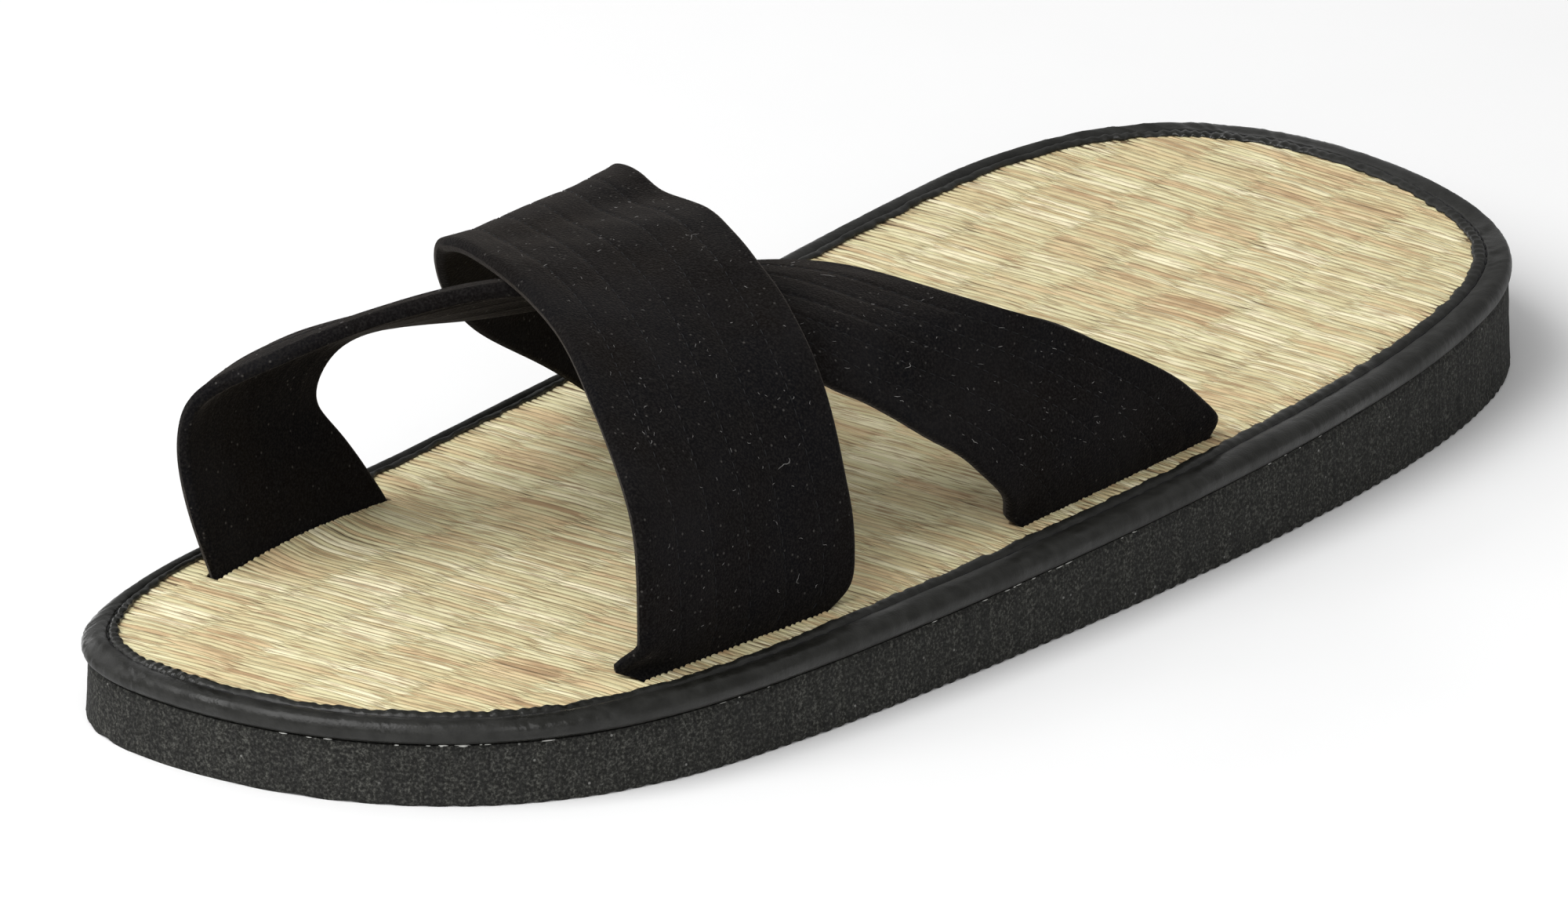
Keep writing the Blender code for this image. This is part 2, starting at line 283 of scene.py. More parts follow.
FLOOR_SHADES = ((0.93, 0.93, 0.93), (0.95, 0.95, 0.95))
MOTTLE_SHARE = 0.6
MOTTLE_SCALE = 900.0


class Look:
    """A material whose nodes are added one by one."""

    def __init__(self, name, **settings):
        self.made = bpy.data.materials.new(name)
        self.made.use_nodes = True
        self.tree = self.made.node_tree
        self.shader = self.tree.nodes["Principled BSDF"]
        for label, value in settings.items():
            self.shader.inputs[label.replace("_", " ")].default_value = value
        self.place = self.node("TexCoord").outputs["Object"]

    def node(self, kind, inputs=None, **settings):
        """A new node; each input is another node's socket or a value."""
        made = self.tree.nodes.new("ShaderNode" + kind)
        for label, value in settings.items():
            setattr(made, label, value)
        for label, value in (inputs or {}).items():
            if isinstance(value, bpy.types.NodeSocket):
                self.tree.links.new(value, made.inputs[label])
            else:
                made.inputs[label].default_value = value
        return made

    def noise(self, scale, detail=2.0, place=None, rough=0.5):
        inputs = {"Vector": place or self.place, "Scale": scale, "Detail": detail, "Roughness": rough}
        return self.node("TexNoise", inputs).outputs["Fac"]

    def stretched(self, scales):
        """Noise with a scale of its own along each axis."""
        place = self.node("Mapping", {"Vector": self.place, "Scale": scales}).outputs["Vector"]
        return self.noise(1.0, 3.0, place)

    def cells(self, scale):
        return self.node("TexVoronoi", {"Vector": self.place, "Scale": scale})

    def specks(self, scale, reach, rarity):
        """Dots in a few of the cells; reach and rarity are where each of them fades."""
        spots = self.cells(scale)
        near = self.level(spots.outputs["Distance"], *reach, 1.0, 0.0)
        few = self.level(spots.outputs["Color"], *rarity)
        return self.maths("MULTIPLY", near, few)

    def mark(self, name):
        return self.node("Attribute", attribute_name=name).outputs["Fac"]

    def maths(self, how, first, second):
        return self.node("Math", {0: first, 1: second}, operation=how).outputs[0]

    def level(self, value, low, high, to_low=0.0, to_high=1.0):
        """A value stretched from one range to another and held inside it."""
        inputs = {"Value": value, "From Min": low, "From Max": high}
        inputs |= {"To Min": to_low, "To Max": to_high}
        return self.node("MapRange", inputs).outputs["Result"]

    def ramp(self, value, stops):
        made = self.node("ValToRGB", {"Fac": value})
        bar = made.color_ramp.elements
        while len(bar) < len(stops):
            bar.new(0.5)
        for element, (place, colour) in zip(bar, stops):
            element.position = place
            element.color = (*colour, 1.0)
        return made.outputs["Color"]

    def mix(self, share, first, second):
        """The first colour with a share of the second; they go into sockets 6 and 7."""
        ends = [(*value, 1.0) if isinstance(value, tuple) else value for value in (first, second)]
        inputs = {0: share, 6: ends[0], 7: ends[1]}
        return self.node("Mix", inputs, data_type="RGBA").outputs[2]

    def bump(self, height, strength, distance, before=None):
        inputs = {"Height": height, "Strength": strength, "Distance": distance}
        if before is not None:
            inputs["Normal"] = before
        return self.node("Bump", inputs).outputs["Normal"]

    def set(self, **sockets):
        for label, value in sockets.items():
            self.tree.links.new(value, self.shader.inputs[label.replace("_", " ")])


def velvet_material():
    """Black velvet: a deep nap with soft patches, a faint sheen and white specks."""
    look = Look(
        "velvet",
        Roughness=0.95,
        Specular_IOR_Level=0.06,
        Sheen_Weight=0.075,
        Sheen_Roughness=0.35,
        Sheen_Tint=(1.0, 0.88, 0.78, 1.0),
    )
    patches = look.noise(70.0, 3.0)
    pile = look.noise(2600.0, 2.0)
    rubbed = look.level(look.noise(45.0, 4.0, rough=0.65), 0.5, 0.68, 0.0, 0.5)
    specks = look.specks(800.0, (0.1, 0.2), (0.62, 0.7))
    colour = look.ramp(patches, ((0.35, VELVET_WARM), (0.65, VELVET_COOL)))
    colour = look.mix(rubbed, colour, VELVET_RUBBED)
    colour = look.mix(look.level(pile, 0.42, 0.72), colour, VELVET_PILE)
    colour = look.mix(specks, colour, VELVET_SPECK)
    look.set(Base_Color=colour, Normal=look.bump(pile, 0.55, 0.3 * MM))
    return look.made


def foam_material():
    """Black foam rubber: fine cells, sawn streaks up the side and pale specks."""
    look = Look("foam", Roughness=0.9, Specular_IOR_Level=0.2)
    grain = look.noise(2100.0, 3.0, rough=0.7)
    streaks = look.stretched((820.0, 820.0, 40.0))
    pores = look.cells(1100.0).outputs["Distance"]
    specks = look.specks(600.0, (0.08, 0.15), (0.74, 0.8))
    colour = look.ramp(grain, ((0.36, FOAM_PORE), (0.52, FOAM_BODY), (0.66, FOAM_GRAIN)))
    colour = look.mix(look.level(streaks, 0.35, 0.65, 0.0, 0.5), colour, FOAM_STREAK)
    colour = look.mix(specks, colour, FOAM_SPECK)
    sawn = look.bump(streaks, 0.5, 0.25 * MM)
    rough = look.bump(look.maths("ADD", grain, pores), 0.6, 0.25 * MM, sawn)
    look.set(Base_Color=colour, Normal=rough)
    return look.made


def tape_material():
    """Black leatherette: a fine grain, with gloss that comes and goes."""
    look = Look("tape", Specular_IOR_Level=0.32)
    rubbed = look.noise(38.0, 3.0)
    grain = look.cells(2600.0).outputs["Distance"]
    scuffs = look.noise(420.0, 3.0)
    creases = look.stretched((260.0, 900.0, 260.0))
    height = look.maths("ADD", look.maths("MULTIPLY", grain, 0.4), look.maths("ADD", scuffs, creases))
    look.set(
        Base_Color=look.ramp(scuffs, ((0.35, TAPE_PLAIN), (0.7, TAPE_SCUFF))),
        Roughness=look.level(rubbed, 0.4, 0.58, 0.22, 0.56),
        Normal=look.bump(height, 0.5, 0.12 * MM),
    )
    return look.made


def rush_material():
    """Dried rush: each float its own tone, with fibres along it and painted shade on the strands' sides
    and where they dip under.
    """
    look = Look("rush", Roughness=0.6, Specular_IOR_Level=0.25)
    across = look.node("SeparateXYZ", {0: look.place}).outputs[0]
    lane = look.mark("lane")

    def streaks(long_scale, lane_scale, detail, rough):
        """Noise that is stretched along each strand."""
        long_way = look.maths("MULTIPLY", across, long_scale)
        side_way = look.maths("MULTIPLY", lane, lane_scale)
        place = look.node("CombineXYZ", {0: long_way, 1: side_way}).outputs[0]
        return look.noise(1.0, detail, place, rough)

    fibres = streaks(75.0, 3.6, 3.0, 0.6)
    threads = streaks(190.0, 6.5, 2.0, 0.5)
    blotches = look.stretched((70.0, 210.0, 60.0))
    tone = look.maths("ADD", look.mark("tone"), look.level(blotches, 0.28, 0.72, -0.2, 0.2))
    colour = look.ramp(tone, RUSH_TONES)
    colour = look.mix(look.level(fibres, 0.53, 0.61, 0.0, 0.78), colour, RUSH_FIBRE)
    # Pale streaks along the fibres, partly a painted highlight.
    colour = look.mix(look.level(fibres, 0.3, 0.44, 0.34, 0.0), colour, RUSH_PALE_FIBRE_AND_GLINT)
    colour = look.mix(look.level(threads, 0.56, 0.64, 0.0, 0.65), colour, RUSH_THREAD)
    # Painted shade: the depth mark darkens the strands' sides and dipped parts.
    colour = look.mix(look.level(look.mark("depth"), 0.0, 0.5, 0.8, 0.0), colour, RUSH_PAINTED_SHADE)
    look.set(Base_Color=colour, Normal=look.bump(look.maths("ADD", fibres, threads), 0.4, 0.1 * MM))
    return look.made


def plain_look(name, colour, **settings):
    """A small part's material, with a fine mottle in its colour."""
    look = Look(name, **settings)
    darker = tuple(MOTTLE_SHARE * value for value in colour)
    look.set(Base_Color=look.mix(look.noise(MOTTLE_SCALE), darker, colour))
    return look.made


velvet = velvet_material()
foam = foam_material()
tape = tape_material()
rush = rush_material()
thread = plain_look("thread", (0.008, 0.008, 0.009), Roughness=0.6, Specular_IOR_Level=0.25)
lint = plain_look("lint", (0.34, 0.33, 0.32), Roughness=0.8)
glue = plain_look("glue", (0.52, 0.52, 0.49), Roughness=0.5)
backing = plain_look("backing", (0.2, 0.135, 0.07), Roughness=0.9)

# The outsole: ribs across its underside, whose ends notch the lower edge.
SOLE_STEPS = 6000
RIB_PITCH = 2.7 * MM
RIB_DEPTH = 0.28 * MM
RIB_SHARPNESS = 1.6
RIB_UNEVEN = 0.35
RIB_UNEVEN_SPACING = 9 * MM
RIB_TOE_FADE = 4 * MM
# Points along the side: a few close together at the toe and heel, then even rows.
END_ROWS = 8
END_STEP = 0.012 * MM
TOE_ROWS_FROM = 1.1 * MM
HEEL_ROWS_TO = 1.0 * MM
ROW_STEP = 0.45 * MM
TREAD_COLUMNS = 14
SIDE_SHARES = (0.0, 0.06, 0.14, 0.26, 0.4, 0.55, 0.7, 0.84, 0.94, 1.0)
LOWER_ROUNDING = 0.45
# How far the side follows the tape out at the toe's straight corner.
CORNER_FILL = 0.7 * MM
# Marks of the saw: their depth, how far apart, how they lean with height, and a seed.
SAW_MARKS = (
    (0.05 * MM, 0.9 * MM, 0, 5),
    (0.1 * MM, 6.0 * MM, 0, 6),
    (0.05 * MM, 2.3 * MM, 40, 7),
)
SAW_RAISED = 0.12


def rib_rise(along):
    return RIB_DEPTH * (0.5 - 0.5 * np.cos(2 * np.pi * along / RIB_PITCH)) ** RIB_SHARPNESS


def side_rows(toe, heel):
    ends = np.arange(1, END_ROWS + 1) ** 2 * END_STEP
    even = np.arange(toe + TOE_ROWS_FROM, heel - HEEL_ROWS_TO, ROW_STEP)
    return np.concatenate([toe + ends, even, heel - ends[::-1]])


def sole_ring(rows, curve, out, run, around):
    """The outline at the given rows: up the near side and back by the far one."""
    heel = int(curve[:, 1].argmax())
    near = (curve[: heel + 1], out[: heel + 1], run[: heel + 1])
    far = (
        np.vstack([curve[heel:], curve[:1]]),
        np.vstack([out[heel:], out[:1]]),
        np.append(run[heel:], around),
    )
    sides = []
    for line, way, length in (near, far):
        order = np.argsort(line[:, 1])
        columns = (line[:, 0], way[:, 0], way[:, 1], length)
        sides.append([np.interp(rows, line[order, 1], column[order]) for column in columns])
    across, way_x, way_y, length = [np.append(up, down[::-1]) for up, down in zip(*sides)]
    ring = np.column_stack([across, np.append(rows, rows[::-1])])
    return ring, np.column_stack([way_x, way_y]), length


def side_rings(ring, way, length, around):
    """Rings of points up the sole's side, which is flared, sawn and notched."""
    along = ring[:, 1]
    notch = rib_rise(along) * (1 + RIB_UNEVEN * drift(length, RIB_UNEVEN_SPACING, 3, around))
    corner = CORNER_FILL * np.maximum(0.0, rim_shape(length / around)[1] - 1)
    rings = []
    for share in SIDE_SHARES:
        rise = notch + share * (sole_top(along) - notch)
        rounding = SOLE_EDGE * LOWER_ROUNDING * (1 - smooth(rise - notch, 0, SOLE_EDGE))
        flare = SOLE_FLARE * (1 - share) ** 2 - rounding
        sawn = np.zeros_like(length)
        for depth, spacing, lean, seed in SAW_MARKS:
            sawn += depth * drift(length + lean * rise, spacing, seed, around)
        offset = flare + sawn * math.sin(math.pi * min(1.0, share + SAW_RAISED)) ** 0.5
        if share == 1.0:
            offset = np.full(len(ring), -SOLE_EDGE / 2)
        flat = ring + way * (offset + corner)[:, None]
        rings.append(np.column_stack([flat, rise]))
    return rings


def tread_points(near, far, rows, toe):
    """Points across the underside, between the two sides of the lowest ring."""
    inner = np.linspace(0.0, 1.0, TREAD_COLUMNS + 1)[1:-1]
    grid = near[:, None] * (1 - inner)[None, :, None] + far[:, None] * inner[None, :, None]
    grid[:, :, 2] = (rib_rise(rows) * smooth(rows, toe, toe + RIB_TOE_FADE))[:, None]
    return grid.reshape(-1, 3)


def outsole_faces(count, total):
    faces = []
    last = (len(SIDE_SHARES) - 1) * count
    for low in range(0, last, count):
        for i in range(count):
            j = (i + 1) % count
            faces.append((low + i, low + j, low + count + j, low + count + i))
    for i in range(total - 1):
        faces.append((last + i, last + i + 1, last + count - 2 - i, last + count - 1 - i))

    def tread(i, j):
        """The point in a row of the underside, counted from the near side."""
        if j == 0:
            return i
        if j == TREAD_COLUMNS:
            return count - 1 - i
        return last + count + i * (TREAD_COLUMNS - 1) + j - 1

    for i in range(total - 1):
        for j in range(TREAD_COLUMNS):
            faces.append((tread(i, j), tread(i, j + 1), tread(i + 1, j + 1), tread(i + 1, j)))
    faces.append(tuple(tread(0, j) for j in range(TREAD_COLUMNS + 1))[::-1])
    faces.append(tuple(tread(total - 1, j) for j in range(TREAD_COLUMNS + 1)))
    return faces


def outsole_piece():
    curve, out, run, around = outline(SOLE_STEPS)
    toe = curve[0, 1]
    rows = side_rows(toe, curve[:, 1].max())
    total = len(rows)
    ring, way, length = sole_ring(rows, curve, out, run, around)
    rings = side_rings(ring, way, length, around)
    tread = tread_points(rings[0][:total], rings[0][total:][::-1], rows, toe)
    faces = outsole_faces(len(ring), total)
    item = add_piece("outsole_foam", np.concatenate([*rings, tread]), faces, foam, sharp=50)
    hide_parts("outsole")


outsole_piece()

# The binding: a rolled tape with a stitched crease and a gathered inner band.
RIM_STEPS = 2600
CREASE_INSET = 3.5 * MM
HEEL_SINK = 0.8 * MM
# Inset and rise in millimetres, then how far wrinkles and gathers move each point.
TAPE_SECTION = (
    (4.2, 0.3, 0, 0),
    (2.4, 0.3, 0, 0),
    (0.6, 0.3, 0.1, 0),
    (-0.1, 0.42, 0.3, 0),
    (-0.5, 0.74, 0.5, 0),
    (-0.78, 1.2, 0.7, 0),
    (-0.9, 1.75, 0.9, 0),
    (-0.88, 2.3, 1, 0),
    (-0.7, 2.85, 1, 0),
    (-0.35, 3.34, 1, 0),
    (0.1, 3.66, 1, 0),
    (0.65, 3.84, 1, 0),
    (1.25, 3.9, 1, 0),
    (1.85, 3.86, 1, 0),
    (2.4, 3.74, 0.9, 0.1),
    (2.85, 3.58, 0.7, 0.2),
    (3.22, 3.38, 0.4, 0.3),
    (3.42, 3.06, 0.1, 0.3),
    (3.56, 3.06, 0, 0.4),
    (3.72, 3.4, 0, 0.8),
    (4.05, 3.62, 0, 1),
    (4.45, 3.7, 0, 1),
    (4.85, 3.67, 0, 1),
    (5.2, 3.52, 0, 0.9),
    (5.44, 3.26, 0, 0.7),
    (5.38, 3.04, 0, 0.3),
    (4.4, 2.92, 0, 0),
    (2.6, 2.92, 0, 0),
    (1.2, 3.0, 0, 0),
    (0.45, 2.6, 0, 0),
    (0.28, 1.95, 0, 0),
    (0.5, 1.3, 0, 0),
    (1.3, 1.0, 0, 0),
    (4.2, 1.0, 0, 0),
)
# In millimetres: the rise from which the inset follows the tape's width, and the
# insets and rises between which each unevenness sets in.
TOP_RISE = 1.5
PLEAT_INSETS = (-0.9, 1.4)
SWELL_INSETS = (-0.6, 1.0)
SCALLOP_INSETS = (3.8, 5.4)
OUTER_INSETS = (0.3, -0.6)
SINK_INSETS = (3.4, 2.2)
SINK_RISES = (1.0, 3.0)
# The outline's turn in radians per metre, on the straights and at the tightest,
# and the number of steps over which it is measured.
TURN_RATES = (10.0, 26.0)
TURN_STEPS = 12
# Spacings and depths of the tape's unevenness. Where a depth is a pair, it is the
# one on the straights and what the turns add.
FOLD_SLANT = 1.1
FOLD_SHARPNESS = 1.5
FINE_FOLDS = 1.25 * MM
FINE_FOLD_DEPTH = (0.05 * MM, 0.13 * MM)
PLEATS = 2.5 * MM
PLEAT_DEPTH = (0.04 * MM, 0.4 * MM)
GATHERS = 2.1 * MM
GATHER_DRIFT = 6 * MM
GATHER_DEPTH = (0.06 * MM, 0.2 * MM)
SWELLS = 13 * MM
SWELL_DEPTH = 0.18 * MM
LUMPS = 2.8 * MM
LUMP_DEPTH = 0.16 * MM
SCALLOP_DEPTH = 0.45 * MM
NICKS = 1.3 * MM
NICK_DEPTH = 0.15 * MM


def bend_of(curve, run):
    """How sharply the outline turns at each point, from 0 on the straights to 1."""
    turn = np.unwrap(np.arctan2(*(np.roll(curve, -1, axis=0) - curve).T[::-1]))
    change = np.roll(turn, -TURN_STEPS) - np.roll(turn, TURN_STEPS)
    rate = np.abs(change) / (2 * TURN_STEPS * run[1])
    rate[:TURN_STEPS] = rate[TURN_STEPS]
    rate[-TURN_STEPS - 1 :] = rate[-TURN_STEPS - 2]
    return smooth(rate, *TURN_RATES)


def tape_folds(run, around, inset, bend, at_toe):
    """Folds across the roll: fine ones at the toe's turn and pleats at the heel's."""
    slant = run + (inset - 1.0) * MM * FOLD_SLANT
    fine_depth = FINE_FOLD_DEPTH[0] + FINE_FOLD_DEPTH[1] * bend * at_toe
    pleat_depth = PLEAT_DEPTH[0] + PLEAT_DEPTH[1] * bend * (1 - at_toe)
    fine = np.abs(drift(slant, FINE_FOLDS, 23, around)) ** FOLD_SHARPNESS * fine_depth
    pleats = np.abs(drift(slant, PLEATS, 24, around)) * pleat_depth
    return -(fine + pleats * smooth(inset, *PLEAT_INSETS))


def tape_gathers(run, around, bend):
    """Gathers across the inner band, spaced nearly evenly round the rim."""
    count = round(around / GATHERS)
    phase = 2 * np.pi * run / around * count + 2 * drift(run, GATHER_DRIFT, 26, around)
    return -(0.5 + 0.5 * np.sin(phase)) * (GATHER_DEPTH[0] + GATHER_DEPTH[1] * bend)


def binding_piece():
    curve, out, run, around = outline(RIM_STEPS)
    wide, proud = rim_shape(run / around)
    bend = bend_of(curve, run)
    at_toe = curve[:, 1] < 0
    gathers = tape_gathers(run, around, bend)
    lumps = LUMP_DEPTH * drift(run, LUMPS, 27, around)
    scallop = SCALLOP_DEPTH * np.abs(drift(run, LUMPS, 21, around))
    scallop += NICK_DEPTH * drift(run, NICKS, 22, around)
    rings = []
    for inset, rise, wrinkle, gather in TAPE_SECTION:
        folds = tape_folds(run, around, inset, bend, at_toe) * wrinkle
        swell = SWELL_DEPTH * drift(run + 2 * rise * MM, SWELLS, 25, around) * wrinkle
        shown = proud if inset < 0 else wide if rise > TOP_RISE else 1.0
        here = inset * MM * shown
        here = here + scallop * smooth(inset, *SCALLOP_INSETS) * (gather > 0)
        here = here - (folds + swell) * smooth(inset, *OUTER_INSETS)
        flat = curve - out * here[:, None]
        sunk = smooth(rise, *SINK_RISES) * smooth(inset, *SINK_INSETS) * np.maximum(0.0, 1 - proud)
        lift = folds + (gathers + lumps) * gather + swell * smooth(inset, *SWELL_INSETS)
        lift = lift - HEEL_SINK * sunk
        rings.append(np.column_stack([flat, sole_top(flat[:, 1]) + rise * MM + lift]))
    points = np.stack(rings, axis=1).reshape(-1, 3)
    faces = [face[::-1] for face in tube_faces(RIM_STEPS, len(TAPE_SECTION), closed=True)]
    item = add_piece("binding_tape", points, faces, tape, sharp=70)
    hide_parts("binding")


binding_piece()

# Thread in the binding's crease, and dried glue along its lower edge.
RIM_PATH_STEPS = 3000
DASH_ENDS = (0.12, 0.88)
RIM_DASH_SIDES = 5
SEAM_PITCH = 3.6 * MM
SEAM_LENGTH = 2.9 * MM
SEAM_RADIUS = 0.17 * MM
SEAM_RISE = 3.14 * MM
SEAM_POINTS = 6
GLUE_BEADS = 130
GLUE_PATCHES = 24 * MM
GLUE_BARE_BELOW = -0.1
GLUE_ENDS_AT = 60 * MM
GLUE_INSET = -0.04 * MM
GLUE_POINTS = 5
# Millimetres: the least, the most, and what a thick patch adds to the most.
GLUE_LENGTHS = (0.4, 1.3, 1.6)
GLUE_RADII = (0.05, 0.1, 0.06)
GLUE_RISES = (0.08, 0.26)


def dash_points(path, side_way, top_way, radius, sides):
    """Rings of a thin tube along a path, narrowed at both ends."""
    turns = 2 * np.pi * np.arange(sides) / sides
    taper = radius * np.sin(np.pi * np.linspace(*DASH_ENDS, len(path)))
    ring = side_way[:, None, :] * np.cos(turns)[None, :, None]
    ring = ring + top_way[:, None, :] * np.sin(turns)[None, :, None]
    return (path[:, None, :] + ring * taper[:, None, None]).reshape(-1, 3)


def add_dashes(name, dashes, sides, made):
    """Many short tubes as one piece; each is a path, its two ways and its radius."""
    points = []
    faces = []
    start = 0
    for path, side_way, top_way, radius in dashes:
        points.append(dash_points(path, side_way, top_way, radius, sides))
        faces += tube_faces(len(path), sides, start)
        start += len(points[-1])
    add_piece(name, np.concatenate(points), faces, made)


def rim_dash(rim, first, length, inset, rise, steps):
    """A path along the outline at an inset and a rise, with its side and top ways."""
    curve, out, run, around = rim
    place = np.linspace(first, first + length, steps) % around
    turned = np.append(run, around)
    looped = np.vstack([np.hstack([curve, out]), np.hstack([curve[:1], out[:1]])])
    found = np.column_stack([np.interp(place, turned, column) for column in looped.T])
    way = found[:, 2:]
    flat = found[:, :2] - way * (inset * rim_shape(place / around)[0])[:, None]
    path = np.column_stack([flat, sole_top(flat[:, 1]) + rise])
    side_way = np.column_stack([way, np.zeros(steps)])
    top_way = np.tile([0.0, 0.0, 1.0], (steps, 1))
    return path, side_way, top_way


def binding_stitches_piece():
    rim = outline(RIM_PATH_STEPS)
    around = rim[3]
    count = round(around / SEAM_PITCH)
    dashes = []
    for index in range(count):
        first = index * around / count
        shape = rim_dash(rim, first, SEAM_LENGTH, CREASE_INSET, SEAM_RISE, SEAM_POINTS)
        dashes.append((*shape, SEAM_RADIUS))
    add_dashes("binding_stitches", dashes, RIM_DASH_SIDES, thread)


def binding_glue_piece():
    rng = np.random.default_rng(31)
    rim = outline(RIM_PATH_STEPS)
    curve = rim[0]
    around = rim[3]
    dashes = []
    for _ in range(GLUE_BEADS):
        first = rng.uniform(0, around)
        spot = curve[int(first / around * len(curve))]
        patch = drift(first, GLUE_PATCHES, 33, around)
        thick = max(0, patch)
        length = rng.uniform(GLUE_LENGTHS[0], GLUE_LENGTHS[1] + GLUE_LENGTHS[2] * thick) * MM
        radius = rng.uniform(GLUE_RADII[0], GLUE_RADII[1] + GLUE_RADII[2] * thick) * MM
        if patch < GLUE_BARE_BELOW or spot[1] > GLUE_ENDS_AT:
            continue
        rise = rng.uniform(*GLUE_RISES) * MM
        shape = rim_dash(rim, first, length, GLUE_INSET, rise, GLUE_POINTS)
        dashes.append((*shape, radius))
    add_dashes("binding_glue", dashes, RIM_DASH_SIDES, glue)


binding_stitches_piece()
binding_glue_piece()

# The straps: padded velvet, sunk along rows of stitches, with a few ripples.
STRAP_ROWS = 200
FACE_COLUMNS = 96
FOOT_STEPS = (1.0, 0.5)
TUCKS = 5
TUCK_DEPTH = 0.14 * MM
TUCK_WIDTH = 0.6 * MM
TUCK_WANDER = 0.008
TUCK_DRIFT = 30 * MM
EDGE_FADE = 2.5 * MM
INNER_SHARE = 0.4
# Ripples: their depth, their spacing along the strap and their waves across it.
BROAD_RIPPLE = (0.22 * MM, 14 * MM, 1.5)
FINE_RIPPLE = (0.1 * MM, 5 * MM, 3.5)
# How far each strap's near front corner is pulled out, the rises where the pull
# starts, is full and ends, and how far it reaches across the strap.
OVER_PULL = (-3.0 * MM, -2.2 * MM, 0.0)
UNDER_PULL = (-0.9 * MM, -0.9 * MM, 0.0)
PULL_RISES = (0.2 * MM, 1.0 * MM, 5.5 * MM)
PULL_REACH = 7.0 * MM
# Each bow is the side it lies on, how far across it starts and is full, how high it
# starts and is full, then shares of the width from the front edge with offsets, all
# in millimetres.
OVER_CREST = (
    (0, -0.5), (0.08, -0.8), (0.19, -1.1),
    (0.28, -0.85), (0.5, -0.6), (0.74, -0.75),
    (0.84, -0.4), (0.93, -0.15), (1, 0.3),
)
OVER_BOWS = (
    (-1, 0, 22, 18, 38, OVER_CREST),
    (-1, 29, 35, 8, 22, ((0, 1.3), (0.35, 0.5), (0.6, 0), (1, 0))),
    (1, -7, 4, 18, 38, ((0, 0), (0.6, 0), (1, 1.0))),
    (1, 13, 24, 3, 16, ((0, 0), (0.7, 0), (1, 1.0))),
)
UNDER_CREST = ((0, -1.4), (0.1, -0.2), (0.2, 0.7), (0.42, 1.5), (0.75, 1.0), (1, 0))
UNDER_BOWS = ((-1, 0, 22, 18, 38, UNDER_CREST),)
# Weights that round the corners of a bow's profile.
BLUR = np.hanning(13)[1:-1]


def strap_edge(rows):
    """A strap's edge, with a foot at both ends that goes down into its slot."""
    points = np.array(rows) * (SLOT_SPREAD, HALF_LENGTH, STRAP_RISE)
    points[:, 2] += sole_top(points[:, 1]) + INSOLE_RISE
    curve = spline(points, STRAP_ROWS, False)
    feet = []
    for end, steps in ((curve[0], FOOT_STEPS), (curve[-1], FOOT_STEPS[::-1])):
        drops = np.array(steps) * (INSOLE_RISE - FIT_GAP)
        feet.append(end - drops[:, None] * np.array([0.0, 0.0, 1.0]))
    return np.vstack([feet[0], curve, feet[1]])


def strap_surface(front, rear, shares):
    """Points across the strap and the way out at each of them."""
    middle = front[:, None, :] * (1 - shares)[None, :, None] + rear[:, None, :] * shares[None, :, None]
    along_run = np.gradient(middle, axis=0)
    across_run = np.gradient(middle, axis=1)
    out = np.cross(along_run, across_run)
    out /= np.linalg.norm(out, axis=2)[:, :, None]
    if out[len(front) // 2, :, 2].mean() < 0:
        out = -out
    for ends, inner in (((0, 1, 2), 3), ((-3, -2, -1), -4)):
        level = out[inner].copy()
        level[:, 2] = 0.0
        level /= np.linalg.norm(level, axis=1)[:, None]
        for end in ends:
            out[end] = level
    for _ in range(2):
        out[1:-1] = (out[:-2] + 2 * out[1:-1] + out[2:]) / 4
    out /= np.linalg.norm(out, axis=2)[:, :, None]
    return middle, out


def above_insole(points):
    return points[:, :, 2] - sole_top(points[:, :, 1]) - INSOLE_RISE


def pulled_corner(middle, reach, pull):
    """The strap with the front corner of its near foot pulled out a little."""
    height = above_insole(middle)
    start, full, end = PULL_RISES
    share = smooth(height, start, full) * (1 - smooth(height, full, end))
    share *= 1 - smooth(reach, 0.0, PULL_REACH)
    share *= middle[:, :, 0] > 0
    return middle + share[:, :, None] * np.array(pull)


def bowed(middle, out, shares, bows):
    """The strap's face moved in or out across its width, high up on either side."""
    height = above_insole(middle)
    moved = np.zeros_like(height)
    for side, start, full, low, high, rows in bows:
        across, offsets = np.transpose(rows)
        profile = np.interp(shares, across, offsets * MM)
        padded = np.pad(profile, len(BLUR) // 2, mode="edge")
        profile = np.convolve(padded, BLUR / BLUR.sum(), mode="valid")
        share = smooth(side * middle[:, :, 0], start * MM, full * MM)
        share = share * smooth(height, low * MM, high * MM)
        moved += share * profile[None, :]
    return middle + out * moved[:, :, None]


def tuck_line(index, run, seed):
    """A row of stitches, as shares of the strap's width along its length."""
    return (index + 1) / (TUCKS + 1) + TUCK_WANDER * drift(run, TUCK_DRIFT, seed + index)


def strap_relief(shares, width, run, seed):
    """How far the face lies below its plain surface, with its tucks and ripples."""
    tuck = np.zeros((len(run), len(shares)))
    for index in range(TUCKS):
        gap = (shares[None, :] - tuck_line(index, run, seed)[:, None]) * width
        tuck += np.exp(-((gap / TUCK_WIDTH) ** 2))
    depth, spacing, waves = BROAD_RIPPLE
    across = np.sin(2 * np.pi * waves * shares + 1.0)
    ripple = depth * drift(run, spacing, seed + 31)[:, None] * across[None, :]
    depth, spacing, waves = FINE_RIPPLE
    across = np.cos(2 * np.pi * waves * shares)
    ripple += depth * drift(run, spacing, seed + 32)[:, None] * across[None, :]
    return TUCK_DEPTH * tuck - ripple


